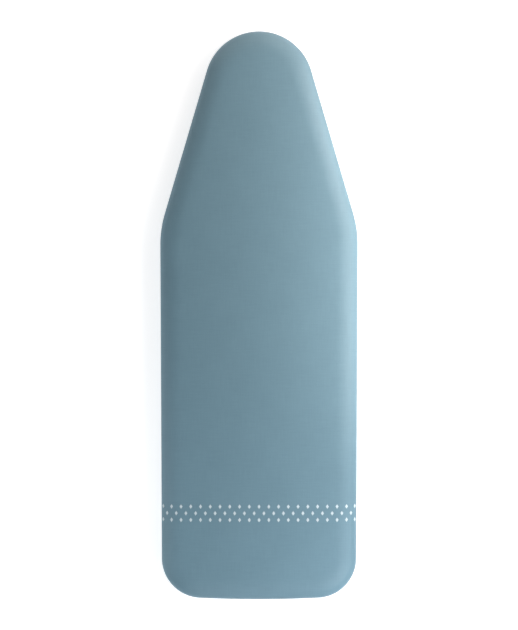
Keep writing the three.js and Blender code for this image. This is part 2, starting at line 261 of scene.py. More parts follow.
def new_finish(name, constants):
    """A material with constants on its shader's sockets, those sockets, and the piece's coordinates."""
    material = bpy.data.materials.new(name)
    material.use_nodes = True
    tree = material.node_tree
    sockets = tree.nodes["Principled BSDF"].inputs
    for socket, value in constants.items():
        sockets[socket].default_value = value
    return material, sockets, Wire(tree, tree.nodes.new("ShaderNodeTexCoord").outputs["Object"])


def speckle(place, scale, detail=2.0, stretch=(1, 1, 1)):
    """Noise about 0.5 on a coordinate, with so many features to the metre along each axis."""
    turned = place.node("ShaderNodeMapping", {}, {"Vector": place, "Scale": stretch})
    return place.node("ShaderNodeTexNoise", {}, {"Vector": turned, "Scale": scale, "Detail": detail}, "Fac")


def cells(place, scale):
    """How far each place is from the middle of its cell, with so many cells to the metre."""
    return place.node("ShaderNodeTexVoronoi", {}, {"Vector": place, "Scale": scale}, "Distance")


FIBRE_WANDER = 0.012
FIBRE_TURNS = np.radians([10, 46, 82, 118, 154])
FIBRE_STRETCH = (1, 9, 1)
FELT_SHADES = [(0.32, (0.40, 0.385, 0.35)), (0.5, (0.56, 0.545, 0.50)), (0.68, (0.70, 0.69, 0.65))]


def felt_finish():
    dull = {"Roughness": 0.95, "Sheen Weight": 0.25, "Specular IOR Level": 0.15}
    material, sockets, place = new_finish("needle_felt", dull)
    # Loose fibres lie every way and wander: fine streaks along turned axes, the highest on top.
    wander = place.node("ShaderNodeTexNoise", {}, {"Vector": place, "Scale": 110.0, "Detail": 1.0}, "Color")
    bend = {0: wander, 1: [FIBRE_WANDER] * 3, 2: place}
    bent = place.node("ShaderNodeVectorMath", {"operation": "MULTIPLY_ADD"}, bend)
    fibres = speckle(place, scale=900, detail=3)
    for turn in FIBRE_TURNS:
        lie = {"Vector": bent, "Rotation": (0, 0, turn), "Scale": FIBRE_STRETCH}
        laid = place.node("ShaderNodeMapping", {"vector_type": "TEXTURE"}, lie)
        fibres = fibres.apply("MAXIMUM", speckle(laid, scale=1100, detail=1))
    cloudy = speckle(place, scale=45, detail=3)
    (fibres * 0.9 + cloudy * 0.35 - 0.24).shaded(FELT_SHADES).into(sockets["Base Color"])
    punched = cells(place, scale=420)
    (fibres + punched * 0.4).raised(strength=0.6, depth=0.0006).into(sockets["Normal"])
    return material


FELT_DEPTH = 0.0046
FELT_SHARES = (1, 0.75, 0.5, 0.25, 0)
FELT_INSETS = (0.038, 0.031, 0.025, 0.0205)
FELT_UNDER_SHARES = (0.15, 0.4, 0.7, 1)
RAGGED_SIZE = 0.0003
RAGGED_TURN = 2.4
felt_low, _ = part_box("felt_pad")
felt_plan = plan_outline(tail=10, corner=20, side=60, shoulder=10, taper=30, nose=34)
felt_rings = face_rings(felt_plan, FELT_DEPTH, FELT_SHARES, FELT_INSETS)
ragged = RAGGED_SIZE * np.sin(np.arange(len(felt_plan[0])) * RAGGED_TURN)
felt_edge = felt_rings[-1].copy()
felt_edge[:, :2] += felt_plan[1] * ragged[:, None]
felt_foot = felt_edge.copy()
felt_foot[:, 2] = felt_low.z
felt_rings += [felt_edge, felt_foot]
to_spine = nearest_spine(felt_foot) - felt_foot[:, :2]
for share in FELT_UNDER_SHARES:
    inner = felt_foot.copy()
    inner[:, :2] += to_spine * share
    felt_rings.append(inner)
felt = add_piece(ring_mesh("felt_pad_sheet", felt_rings), felt_finish())
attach(felt, "cover")
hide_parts("felt_pad")

# Foam layer
# An even sheet of cream foam that is bonded behind the face cloth, follows it over the edge roll,
# and stops at the widest line, so that the edge feels soft.
FOAM_DEPTH = 0.0013
FOAM_THICKNESS = 0.003
FOAM_SHARES = (1, 0.66, 0.33, 0)
FOAM_CREAM_AND_PIT_SHADE = [(0.1, (0.55, 0.50, 0.36)), (0.6, (0.80, 0.76, 0.62))]
ROLL_STEPS = 14


def foam_finish():
    material, sockets, place = new_finish("cream_foam", {"Roughness": 0.95, "Specular IOR Level": 0.1})
    bubble_pits_and_shade = cells(place, scale=900)
    # The bubbles' hollows get painted shade: darker towards each cell's middle and lighter at its rim,
    # where the same cells dent the surface.
    bubble_pits_and_shade.shaded(FOAM_CREAM_AND_PIT_SHADE).into(sockets["Base Color"])
    bubble_pits_and_shade.raised(strength=0.7, depth=0.0006).into(sockets["Normal"])
    return material


roll_insets = ROLL_WIDTH * (1 - np.sin(np.linspace(0, math.pi / 2, ROLL_STEPS + 1)[1:]))
foam_plan = plan_outline(tail=10, corner=24, side=60, shoulder=10, taper=30, nose=40)
foam_outer = face_rings(foam_plan, FOAM_DEPTH, FOAM_SHARES, roll_insets)
foam_inner = face_rings(foam_plan, FOAM_DEPTH + FOAM_THICKNESS, FOAM_SHARES, roll_insets)
foam = add_piece(ring_mesh("foam_sheet", foam_outer + foam_inner[::-1]), foam_finish())
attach(foam, "cover")
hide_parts("foam_layer")

# Face cloth
# One panel of blue-grey plain-weave cotton with a light finish. It is laid over the pad, turned down
# round the rim and back under the board. The hem cord gathers it, most at the nose and the tail's corners.
CLOTH_THICKNESS = 0.0009
UNDER_RADIUS = 0.007
HEM_INSET = 0.044
WEAVE_PITCH = 0.0005
CLOTH_SHADES = [(0.3, (0.147, 0.262, 0.323)), (0.5, (0.166, 0.290, 0.356)), (0.7, (0.184, 0.316, 0.386))]
PRINT_INK = (0.72, 0.80, 0.83, 1)
PRINT_Y = -0.416
PRINT_ROWS = 3
PRINT_ROW = 0.014
PRINT_PITCH = 0.0205
DIAMOND_HALF = (0.0032, 0.0048)


def cut_axes(place):
    """The coordinates of a piece's cut pattern, whole and as a wire for each of its two axes."""
    cut = place.node("ShaderNodeUVMap", {"uv_map": "cut"})
    return cut, *(cut.node("ShaderNodeSeparateXYZ", {}, {0: cut}, axis) for axis in "XY")


def cloth_finish():
    smooth = {"Sheen Weight": 0.25, "Sheen Roughness": 0.4, "Specular IOR Level": 0.55}
    material, sockets, place = new_finish("blue_cotton", smooth)
    cut, across, along = cut_axes(place)
    # Plain weave: warp and weft threads, each over one and under the next.
    warp = (across * (math.pi / WEAVE_PITCH)).apply("SINE")
    weft = (along * (math.pi / WEAVE_PITCH)).apply("SINE")
    over = warp * weft > 0.0
    threads = warp.apply("ABSOLUTE") * over + weft.apply("ABSOLUTE") * (1 - over)
    warp_slubs = speckle(cut, scale=420, stretch=(1, 0.06, 1))
    weft_slubs = speckle(cut, scale=380, stretch=(0.07, 1, 1))
    slubs = warp_slubs * 0.5 + weft_slubs * 0.5
    cloudy = speckle(cut, scale=14, detail=3)
    dyed = (slubs * 0.5 + cloudy * 0.2 + 0.15).shaded(CLOTH_SHADES)
    # Printed border near the tail: rows of small diamonds, each row half a step off the next.
    upward = (along - PRINT_Y) / PRINT_ROW
    row = (upward + 0.5).apply("FLOOR")
    sideways = across / PRINT_PITCH + row * 0.5
    off_side = (sideways.apply("FRACT") - 0.5).apply("ABSOLUTE") * PRINT_PITCH
    off_row = (upward - row).apply("ABSOLUTE") * PRINT_ROW
    diamond = off_side / DIAMOND_HALF[0] + off_row / DIAMOND_HALF[1] < 1.0
    bordered = row.apply("ABSOLUTE") < PRINT_ROWS / 2
    ink = diamond * bordered * (0.96 - slubs * 0.12)
    dyed.mix(PRINT_INK, ink).into(sockets["Base Color"])
    (0.45 + slubs * 0.1).into(sockets["Roughness"])
    (threads * 0.6 + slubs * 0.4).raised(strength=0.25, depth=0.00025).into(sockets["Normal"])
    return material


def ripple(where, wavelength, seed, octaves=4):
    """A smooth wandering value from about -1 to 1 along a length, the same on every run."""
    draw = np.random.RandomState(seed)
    total = np.zeros_like(where)
    for _ in range(octaves):
        stretch = wavelength * draw.uniform(0.6, 1.7)
        total += np.sin(2 * math.pi * (where / stretch + draw.uniform())) / math.sqrt(octaves)
    return total


def along_hem(plan):
    """How far round the hem each place of a plan lies, and the step from each place to the next."""
    line = plan[0] - plan[1] * HEM_INSET
    steps = np.linalg.norm(np.roll(line, -1, axis=0) - line, axis=1)
    return np.concatenate([[0], np.cumsum(steps)[:-1]]) / steps.sum(), steps


def softened(values, run, steps, reach):
    """Values round the hem, averaged over a reach to both sides."""
    apart = np.abs(run[:, None] - run[None, :])
    apart = np.minimum(apart, 1 - apart) * steps.sum()
    weight = np.exp(-((apart / reach) ** 2)) * steps[None, :]
    return (weight * values[None, :]).sum(1) / weight.sum(1)


# The tighter the hem bends, the more cloth it draws in: deeper pleats, closer together.
BEND_REACH = 0.016
PLEAT_SIZE = 0.0006
PLEAT_GAIN = 0.00026
PLEAT_PITCH = 0.024
PLEAT_HALVING = 9
PLEAT_WANDER = 0.13
PLEAT_WAVE = 0.06
PLEAT_LEAN = 3
PLEAT_LEAN_TURN = 1.7
PLEAT_BULGE = 0.5
PLEAT_ROUNDING = 0.85
PLEAT_SLIP = 0.08
PLEATS_OPEN = (0.004, 0.022)
PLEATS_CLOSE = (0.026, 0.042)
SEWN_FLAT = 0.88
PUCKER_SHARE = 0.32
hem_plan = plan_outline(tail=66, corner=60, side=260, shoulder=30, taper=120, nose=90)
hem_run, hem_steps = along_hem(hem_plan)
hem_length = hem_steps.sum()
facing_angle = np.unwrap(np.arctan2(hem_plan[1][:, 1], hem_plan[1][:, 0]))
turned = np.append(np.diff(facing_angle), facing_angle[0] + 2 * math.pi - facing_angle[-1])
bend = softened(turned / hem_steps, hem_run, hem_steps, BEND_REACH)
pleat_size = PLEAT_SIZE + PLEAT_GAIN * bend
pleat_pitch = PLEAT_PITCH / (1 + bend / PLEAT_HALVING)
pleat_phase = np.cumsum(hem_steps / pleat_pitch)
pleat_phase *= round(pleat_phase[-1]) / pleat_phase[-1]
pleat_phase += PLEAT_WANDER * ripple(hem_run * hem_length, PLEAT_WAVE, seed=3)


def pleats(run, inset):
    """The pleats at an inset, round the hem: their size, how far each place is folded out, from 0 to 1,
    and its sideways shift."""
    size, pitch, phase = (np.interp(run, hem_run, v) for v in (pleat_size, pleat_pitch, pleat_phase))
    angle = 2 * math.pi * (phase + PLEAT_LEAN * (inset - HEM_INSET) * np.sin(phase * PLEAT_LEAN_TURN))
    fold = (0.5 - 0.5 * np.cos(angle + PLEAT_BULGE * np.sin(angle))) ** PLEAT_ROUNDING
    return size, fold, PLEAT_SLIP * pitch * np.sin(angle)


def eased(value, start, end):
    """0 up to a start, 1 from an end on, and a smooth rise between them."""
    share = np.clip((value - start) / (end - start), 0, 1)
    return share**2 * (3 - 2 * share)


cloth_low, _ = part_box("face_cloth")
turn_z = cloth_low.z + UNDER_RADIUS
cloth_plan = plan_outline(tail=40, corner=72, side=176, shoulder=26, taper=84, nose=80)
cloth_run, _ = along_hem(cloth_plan)
cloth_tangent = np.column_stack([-cloth_plan[1][:, 1], cloth_plan[1][:, 0]])


def edge_ring(inset, z):
    """A ring of the cloth at an inset from its outline and a height."""
    flat = cloth_plan[0] - cloth_plan[1] * inset
    return np.column_stack([flat, np.full(len(flat), z)])


def rim_ring(inset, z, tilt, share):
    """A ring of the cloth on the rim, where the pleats run out upwards as puckers. tilt is how far the
    cloth has turned under, and share how far the ring is from the widest line to the flap."""
    size, fold, _ = pleats(cloth_run, 0)
    pucker = PUCKER_SHARE * size * (1 - fold) * math.sin(math.pi * share)
    ring = edge_ring(inset, z)
    ring[:, :2] -= cloth_plan[1] * (pucker * math.cos(tilt))[:, None]
    ring[:, 2] += pucker * math.sin(tilt)
    return ring


def flap_ring(inset):
    """A ring of the cloth turned under the board, where it is gathered. The pleats open past the rim and
    are sewn nearly flat at the hem."""
    size, fold, shift = pleats(cloth_run, inset)
    swell = eased(inset, *PLEATS_OPEN) * (1 - SEWN_FLAT * eased(inset, *PLEATS_CLOSE))
    ring = edge_ring(inset, cloth_low.z)
    ring[:, 2] -= size * swell * fold
    ring[:, :2] += cloth_tangent * (shift * swell)[:, None]
    return ring


FACE_SHARES = (1, 0.84, 0.68, 0.52, 0.36, 0.22, 0.1, 0)
RIM_STEPS = 4
TURN_STEPS = 5
FLAP_STEPS = 18
cloth_rings = face_rings(cloth_plan, 0, FACE_SHARES, roll_insets)
widest_row = len(cloth_rings) - 1
rim = [(0, z, 0) for z in np.linspace(widest_z, turn_z, RIM_STEPS + 1)[1:]]
for tilt in np.linspace(0, math.pi / 2, TURN_STEPS + 1)[1:]:
    rim.append((UNDER_RADIUS * (1 - math.cos(tilt)), turn_z - UNDER_RADIUS * math.sin(tilt), tilt))
cloth_rings += [rim_ring(*place, number / len(rim)) for number, place in enumerate(rim, 1)]
flap_insets = np.linspace(UNDER_RADIUS, HEM_INSET, FLAP_STEPS + 1)[1:]
cloth_rings += [flap_ring(inset) for inset in flap_insets]
cloth_points = np.array(cloth_rings)

# The cut pattern lies flat: each ring is as far out from the roll's start as the cloth runs to it.
ring_gap = np.linalg.norm(np.diff(cloth_points, axis=0), axis=2).mean(1)
cut_pattern = cloth_points[:, :, :2].copy()
for row in range(len(FACE_SHARES), len(cloth_points)):
    cut_pattern[row] = cut_pattern[row - 1] + cloth_plan[1] * ring_gap[row - 1]

SETTLE_HELD = 2
SETTLE_GROWTH = 0.04
SETTLE_FRAMES = 21
SETTLE_EASE = 3
SETTLE_LIMIT = 0.003


def settle(points, first_row):
    """Lets the cloth from a row down grow a little and buckle, held at that row and at the hem."""
    loose = points[first_row:]
    rows, count = loose.shape[:2]
    mesh = bpy.data.meshes.new("settling")
    mesh.from_pydata(loose.reshape(-1, 3).tolist(), [], ring_faces(rows, count).tolist())
    made = bpy.data.objects.new("settling", mesh)
    bpy.context.scene.collection.objects.link(made)
    held = made.vertex_groups.new(name="held")
    held.add(list(range(SETTLE_HELD * count)), 1.0, "REPLACE")
    held.add(list(range((rows - SETTLE_HELD) * count, rows * count)), 1.0, "REPLACE")
    settling = made.modifiers.new("settle", "CLOTH")
    settling.settings.vertex_group_mass = "held"
    settling.settings.quality = 6
    settling.settings.mass = 0.2
    settling.settings.tension_stiffness = 12
    settling.settings.compression_stiffness = 12
    settling.settings.shear_stiffness = 4
    settling.settings.bending_stiffness = 2.0
    settling.settings.shrink_min = -SETTLE_GROWTH
    settling.settings.effector_weights.gravity = 0
    settling.collision_settings.use_collision = False
    scene = bpy.context.scene
    for number in range(1, SETTLE_FRAMES + 1):
        scene.frame_set(number)
    seen = made.evaluated_get(bpy.context.evaluated_depsgraph_get())
    moved = np.zeros(rows * count * 3, np.float32)
    seen.data.vertices.foreach_get("co", moved)
    scene.frame_set(1)
    bpy.data.objects.remove(made)
    moved = moved.reshape(rows, count, 3) - loose
    for _ in range(SETTLE_EASE):
        moved = moved / 2 + np.roll(moved, 1, axis=1) / 4 + np.roll(moved, -1, axis=1) / 4
        moved[1:-1] = moved[1:-1] / 2 + moved[:-2] / 4 + moved[2:] / 4
    travel = np.linalg.norm(moved, axis=2, keepdims=True)
    settled = loose + moved * np.minimum(1, SETTLE_LIMIT / np.maximum(travel, 1e-9))
    # The drawn cord keeps the cloth taut round the rim, so nothing bulges past the widest line.
    bulge = ((settled[:, :, :2] - cloth_plan[0]) * cloth_plan[1]).sum(2)
    settled[:, :, :2] -= cloth_plan[1] * np.maximum(bulge, 0)[:, :, None]
    return np.concatenate([points[:first_row], settled])


def applied(made):
    """The object with its modifiers baked into its mesh, and the modifiers gone."""
    bpy.context.view_layer.update()
    seen = made.evaluated_get(bpy.context.evaluated_depsgraph_get())
    baked = bpy.data.meshes.new_from_object(seen)
    made.modifiers.clear()
    old, made.data = made.data, baked
    name = old.name
    bpy.data.meshes.remove(old)
    baked.name = name
    return made


cloth_points = settle(cloth_points, widest_row)
cloth_mesh = ring_mesh("face_panel", cloth_points, cut_pattern.reshape(-1, 2))
cloth = add_piece(cloth_mesh, cloth_finish())
thicken = cloth.modifiers.new("thickness", "SOLIDIFY")
thicken.thickness = CLOTH_THICKNESS
thicken.offset = -1
applied(cloth)
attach(cloth, "cover")
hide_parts("face_cloth")

# Hem casing
# A slate tape folded into a tunnel for the cord and sewn under the cloth's cut edge with two rows of
# lock stitch. The drawn cord bunches it, so the tunnel is crinkled all the way round.
TUNNEL_RADIUS = 0.0042
BORE_RADIUS = 0.0018
TAPE_THICKNESS = 0.0007
TAPE_GAP = 0.0002
TAPE_EDGE = 0.030
TAPE_TURN = 0.0395
CASING_MOUTH = 0.034
CRINKLE_PITCH = 0.0068
CRINKLE_DEPTH = 0.00038
CRINKLE_WANDER = 0.5
CRINKLE_WAVE = 0.04
CRINKLE_SLANT = 0.9
CRINKLE_TWIST = 2
TWILL_PITCH = 0.0009
TAPE_TONES_AND_TWILL_SHADE = [(0.25, (0.085, 0.132, 0.165)), (0.75, (0.135, 0.205, 0.245))]


def tape_finish():
    matt = {"Roughness": 0.8, "Sheen Weight": 0.2, "Specular IOR Level": 0.25}
    material, sockets, place = new_finish("slate_tape", matt)
    _, around, along = cut_axes(place)
    twill_ridges_and_shade = ((around + along) * (2 * math.pi / TWILL_PITCH)).apply("SINE")
    cloudy = speckle(place, scale=160, detail=3)
    # Colour: mostly random cloudy tone, with a little painted shade that darkens the twill's grooves and
    # lightens its ridges.
    (cloudy * 0.7 + twill_ridges_and_shade * 0.08 + 0.15).shaded(TAPE_TONES_AND_TWILL_SHADE).into(sockets["Base Color"])
    twill_ridges_and_shade.raised(strength=0.4, depth=0.0002).into(sockets["Normal"])
    return material


first_flap_row = len(cloth_points) - len(flap_insets)


def cloth_under(places, inset):
    """Points on the lower face of the flap at an inset, for places of the hem plan."""
    row = np.interp(inset, flap_insets, np.arange(len(flap_insets)) + first_flap_row)
    low, share = int(row), row - int(row)
    ring = cloth_points[low] * (1 - share) + cloth_points[min(low + 1, len(cloth_points) - 1)] * share
    run = np.append(cloth_run, 1)
    ring = np.vstack([ring, ring[:1]])
    return np.column_stack([np.interp(hem_run[places], run, ring[:, i]) for i in range(3)])


hem_line = hem_plan[0] - hem_plan[1] * HEM_INSET
mouth = (np.abs(hem_line[:, 0]) < CASING_MOUTH / 2) & (hem_line[:, 1] < 0)
sewn = np.flatnonzero(~mouth)
sewn_plan = hem_plan[0][sewn], hem_plan[1][sewn]
sewn_run = hem_run[sewn] * hem_length
cord_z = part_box("hem_casing")[1].z / 2
crinkle = sewn_run / CRINKLE_PITCH + CRINKLE_WANDER * ripple(sewn_run, CRINKLE_WAVE, seed=8)


def tunnel_ring(angle, radius, crinkled):
    """Points of the tunnel at an angle round the cord, counted from inwards through up."""
    wave = 2 * math.pi * crinkle + CRINKLE_SLANT * math.sin(angle) + CRINKLE_TWIST * math.sin(2 * angle)
    radius = radius + crinkled * np.sin(wave)
    inset = HEM_INSET + radius * math.cos(angle)
    flat = sewn_plan[0] - sewn_plan[1] * inset[:, None]
    return np.column_stack([flat, cord_z + radius * math.sin(angle)])


# The skin runs in along the tape's lower face, round the tunnel and back along its upper face. The bore
# has a point for each point of the skin, so that flat faces close both ends.
STITCH_ROWS = (0.0325, 0.0375)
TUNNEL_ANGLES = np.radians(np.linspace(150, 430, 19))
BORE_START_ANGLES = np.radians([132, 137, 141, 145])
BORE_END_ANGLES = np.radians([438, 446, 455, 473])
lap = (TAPE_EDGE, *STITCH_ROWS, TAPE_TURN)
lower = [cloth_under(sewn, inset) - (0, 0, TAPE_GAP + TAPE_THICKNESS) for inset in lap]
upper = [cloth_under(sewn, inset) - (0, 0, TAPE_GAP) for inset in lap[::-1]]
tunnel = [tunnel_ring(angle, TUNNEL_RADIUS, CRINKLE_DEPTH) for angle in TUNNEL_ANGLES]
skin = np.stack(lower + tunnel + upper, axis=1)
bore_angles = np.concatenate([BORE_START_ANGLES, TUNNEL_ANGLES, BORE_END_ANGLES])
bore = np.stack([tunnel_ring(angle, BORE_RADIUS, 0.0) for angle in bore_angles], axis=1)
stations, contour = skin.shape[:2]
casing_points = np.concatenate([skin.reshape(-1, 3), bore.reshape(-1, 3)])
bore_first = stations * contour
end_faces = []
for first in (0, (stations - 1) * contour):
    for i in range(contour):
        j = (i + 1) % contour
        end_faces.append((first + i, first + j, bore_first + first + j, bore_first + first + i))
side_faces = ring_faces(stations, contour)
casing_faces = np.concatenate([side_faces, side_faces[:, ::-1] + bore_first, end_faces])
round_skin = np.cumsum(np.linalg.norm(np.roll(skin, -1, axis=1) - skin, axis=2).mean(0))
skin_uv = np.stack(np.broadcast_arrays(round_skin[None, :], sewn_run[:, None]), axis=-1)
casing_uv = np.concatenate([skin_uv.reshape(-1, 2)] * 2)


def facing_out(mesh):
    """Turns all faces of a closed mesh outwards."""
    built = bmesh.new()
    built.from_mesh(mesh)
    bmesh.ops.recalc_face_normals(built, faces=built.faces)
    built.to_mesh(mesh)
    built.free()
    return mesh


casing_mesh = facing_out(make_mesh("hem_tape", casing_points, casing_faces, casing_uv))
casing = add_piece(casing_mesh, tape_finish())
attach(casing, "cover")
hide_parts("hem_casing")

# Hem stitches
# Two rows of lock stitch, in a thread a little paler than the tape, that hold the tape to the cloth.
# They are sewn near the tape's outer edge and near its turn, and stop just short of the casing's mouth.
STITCH_SIZES = {"Pitch": 0.0034, "Length": 0.0026, "Thickness": 0.0005}
STITCH_GAP = 0.00025
STITCH_STOP = 2
THREAD_SHADES = [(0.3, (0.20, 0.28, 0.32)), (0.7, (0.30, 0.40, 0.45))]


def thread_finish():
    material, sockets, place = new_finish("sewing_thread", {"Roughness": 0.6, "Sheen Weight": 0.2})
    speckle(place, scale=2500, detail=1).shaded(THREAD_SHADES).into(sockets["Base Color"])
    return material


def stitch_tree(thread):
    """Geometry nodes that lay one stitch after another along a line of points."""
    tree = bpy.data.node_groups.new("stitches", "GeometryNodeTree")
    tree.interface.new_socket("Line", in_out="INPUT", socket_type="NodeSocketGeometry")
    for name in STITCH_SIZES:
        tree.interface.new_socket(name, in_out="INPUT", socket_type="NodeSocketFloat")
    tree.interface.new_socket("Stitches", in_out="OUTPUT", socket_type="NodeSocketGeometry")
    nodes, link = tree.nodes, tree.links.new
    start, end = nodes.new("NodeGroupInput"), nodes.new("NodeGroupOutput")
    curve = nodes.new("GeometryNodeMeshToCurve")
    even = nodes.new("GeometryNodeResampleCurve")
    even.mode = "LENGTH"
    tangent = nodes.new("GeometryNodeInputTangent")
    turn = nodes.new("FunctionNodeAlignRotationToVector")
    turn.axis = "X"
    ball = nodes.new("GeometryNodeMeshIcoSphere")
    ball.inputs["Subdivisions"].default_value = 1
    ball.inputs["Radius"].default_value = 0.5
    size = nodes.new("ShaderNodeCombineXYZ")
    lay = nodes.new("GeometryNodeInstanceOnPoints")
    real = nodes.new("GeometryNodeRealizeInstances")
    finish = nodes.new("GeometryNodeSetMaterial")
    finish.inputs["Material"].default_value = thread
    link(start.outputs["Line"], curve.inputs["Mesh"])
    link(curve.outputs["Curve"], even.inputs["Curve"])
    link(start.outputs["Pitch"], even.inputs["Length"])
    link(even.outputs["Curve"], lay.inputs["Points"])
    link(ball.outputs["Mesh"], lay.inputs["Instance"])
    link(tangent.outputs["Tangent"], turn.inputs["Vector"])
    link(turn.outputs["Rotation"], lay.inputs["Rotation"])
    link(start.outputs["Length"], size.inputs["X"])
    link(start.outputs["Thickness"], size.inputs["Y"])
    link(start.outputs["Thickness"], size.inputs["Z"])
    link(size.outputs["Vector"], lay.inputs["Scale"])
    link(lay.outputs["Instances"], real.inputs["Geometry"])
    link(real.outputs["Geometry"], finish.inputs["Geometry"])
    link(finish.outputs["Geometry"], end.inputs["Stitches"])
    return tree


thread = thread_finish()
row_places = sewn[STITCH_STOP:-STITCH_STOP]
row_drop = (0, 0, STITCH_GAP + TAPE_THICKNESS)
row_points = [cloth_under(row_places, inset) - row_drop for inset in STITCH_ROWS]
row_starts = [row * len(row_places) for row in range(len(STITCH_ROWS))]
row_edges = [(start + i, start + i + 1) for start in row_starts for i in range(len(row_places) - 1)]
row_mesh = bpy.data.meshes.new("hem_stitches")
row_mesh.from_pydata(np.concatenate(row_points).tolist(), row_edges, [])
stitches = add_piece(row_mesh, thread)
laying = stitches.modifiers.new("stitches", "NODES")
laying.node_group = stitch_tree(thread)
for socket in laying.node_group.interface.items_tree:
    if socket.name in STITCH_SIZES:
        laying[socket.identifier] = STITCH_SIZES[socket.name]
applied(stitches)
stitches.data.shade_smooth()
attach(stitches, "cover")

# With its hem sewn on, the cloth's flat area follows from its cut edge.
cut_edge = cut_pattern[-1]
cut_next = np.roll(cut_edge, -1, axis=0)
cut_area = (cut_edge[:, 0] * cut_next[:, 1] - cut_edge[:, 1] * cut_next[:, 0]).sum() / 2

# Drawcord
# A braided cord, 3 mm thick, that runs through the whole casing. Both ends come out at the tail,
# turn side by side through the lock, and are set in the cord end.
CORD_RADIUS = 0.0015
CORD_OFFSET = 0.00175
CORD_SET = 0.0087
BEND_RADIUS = 0.009
CASING_REACH = 0.004
BRAID_STRANDS = 6
BRAID_PITCH = 0.0048
BRAID_DEPTH = 0.00011
CORD_SIDES = 36
CORD_STEP = 0.00045
HIDDEN_SKIP = 6
HIDDEN_STEP = 3
CORD_GREYS_AND_GROOVE_SHADE = [(0.2, (0.36, 0.38, 0.39)), (0.8, (0.66, 0.67, 0.66))]


def cord_finish():
    material, sockets, place = new_finish("braided_cord", {"Roughness": 0.75, "Sheen Weight": 0.3})
    _, turn, along = cut_axes(place)
    left = (turn * BRAID_STRANDS + along / BRAID_PITCH) * (2 * math.pi)
    right = (turn * BRAID_STRANDS - along / BRAID_PITCH) * (2 * math.pi)
    strand_crowns_and_groove_shade = left.apply("COSINE").apply("MAXIMUM", right.apply("COSINE"))
    fluff = speckle(place, scale=3000)
    # Colour: the strands' crowns are painted lighter and the grooves between them darker, as painted shade;
    # the fluff is random tone.
    (strand_crowns_and_groove_shade * 0.3 + fluff * 0.3 + 0.3).shaded(CORD_GREYS_AND_GROOVE_SHADE).into(sockets["Base Color"])
    (strand_crowns_and_groove_shade + fluff * 0.5).raised(strength=0.5, depth=0.0002).into(sockets["Normal"])
    return material


def cord_route():
    """Points of the cord's line in plan, with the directions that face right of its run."""
    start_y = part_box("cord_end")[0].y + CORD_SET
    tail_y = -LENGTH / 2 + HEM_INSET
    straight = np.arange(start_y, tail_y + BEND_RADIUS, -CORD_STEP)
    angles = np.arange(math.pi, 1.5 * math.pi, CORD_STEP / BEND_RADIUS)
    turn = np.column_stack([np.cos(angles), np.sin(angles)])
    centre = np.array([CORD_OFFSET + BEND_RADIUS, tail_y + BEND_RADIUS])
    out_x = np.arange(centre[0], CASING_MOUTH / 2 + CASING_REACH, CORD_STEP)
    points = np.concatenate([
        np.column_stack([np.full(len(straight), CORD_OFFSET), straight]),
        centre + BEND_RADIUS * turn,
        np.column_stack([out_x, np.full(len(out_x), tail_y)]),
    ])
    facing = np.concatenate([
        np.tile([-1.0, 0.0], (len(straight), 1)),
        turn,
        np.tile([0.0, -1.0], (len(out_x), 1)),
    ])
    # Inside the casing the cord is hidden, so some of the hem's places are enough.
    inside = sewn[HIDDEN_SKIP:-HIDDEN_SKIP:HIDDEN_STEP]
    mirror = np.array([-1, 1])
    route = np.concatenate([points, hem_line[inside], points[::-1] * mirror])
    return route, np.concatenate([facing, hem_plan[1][inside], facing[::-1] * mirror])


route, route_facing = cord_route()
route_run = np.concatenate([[0], np.cumsum(np.linalg.norm(np.diff(route, axis=0), axis=1))])
turns = np.arange(CORD_SIDES + 1) / CORD_SIDES
lay_left = np.cos(2 * math.pi * (BRAID_STRANDS * turns[None, :] + route_run[:, None] / BRAID_PITCH))
lay_right = np.cos(2 * math.pi * (BRAID_STRANDS * turns[None, :] - route_run[:, None] / BRAID_PITCH))
cord_radius = CORD_RADIUS - BRAID_DEPTH + BRAID_DEPTH * np.maximum(lay_left, lay_right)
side_out = cord_radius * np.cos(2 * math.pi * turns)
cord_flat = route[:, None, :] + route_facing[:, None, :] * side_out[:, :, None]
cord_up = cord_z + cord_radius * np.sin(2 * math.pi * turns)
cord_points = np.concatenate([cord_flat, cord_up[:, :, None]], axis=2)
# Each ring has its first point twice, so that the braid's pattern meets itself without a seam.
cord_faces = [list(f) for f in ring_faces(len(route), CORD_SIDES + 1, closed=False)]
for first in (0, (len(route) - 1) * (CORD_SIDES + 1)):
    cord_faces.append(list(range(first, first + CORD_SIDES)))
cord_uv = np.stack(np.broadcast_arrays(turns[None, :], route_run[:, None]), axis=-1).reshape(-1, 2)
cord_mesh = facing_out(make_mesh("hem_cord", cord_points.reshape(-1, 3), cord_faces, cord_uv))
cord = add_piece(cord_mesh, cord_finish())
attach(cord, "cover")
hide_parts("drawcord")

# Cord end
# A charcoal plastic bell that keeps the ends of the cord together. It is moulded over them, each in a
# socket of its own, tapers away from the lock, and has shallow grip grooves round it.
BELL_TAPER = 0.0016
BELL_SOFT = 0.0012
BELL_EDGE = 0.00012
GROOVES = 4
GROOVE_DEPTH = 0.00025
GROOVES_START = 0.0035
GROOVES_END = 0.002
SOCKET_RADIUS = 0.00162
SOCKET_DEPTH = 0.009
CUTTER_SOFT = 0.0001
CUTTER_PAST = 0.002
ROUNDING_STEPS = 4
SHARP_ANGLE = math.radians(40)
CREASE_ANGLE = math.radians(50)
PLASTIC_SHADES = [(0.3, (0.036, 0.044, 0.052)), (0.7, (0.056, 0.067, 0.077))]


def plastic_finish():
    material, sockets, place = new_finish("charcoal_plastic", {"Specular IOR Level": 0.45})
    grain = speckle(place, scale=5200, detail=3)
    flow = speckle(place, scale=220)
    (grain * 0.4 + flow * 0.6).shaded(PLASTIC_SHADES).into(sockets["Base Color"])
    (0.34 + grain * 0.16 + flow * 0.08).into(sockets["Roughness"])
    grain.raised(strength=0.2, depth=0.0001).into(sockets["Normal"])
    return material


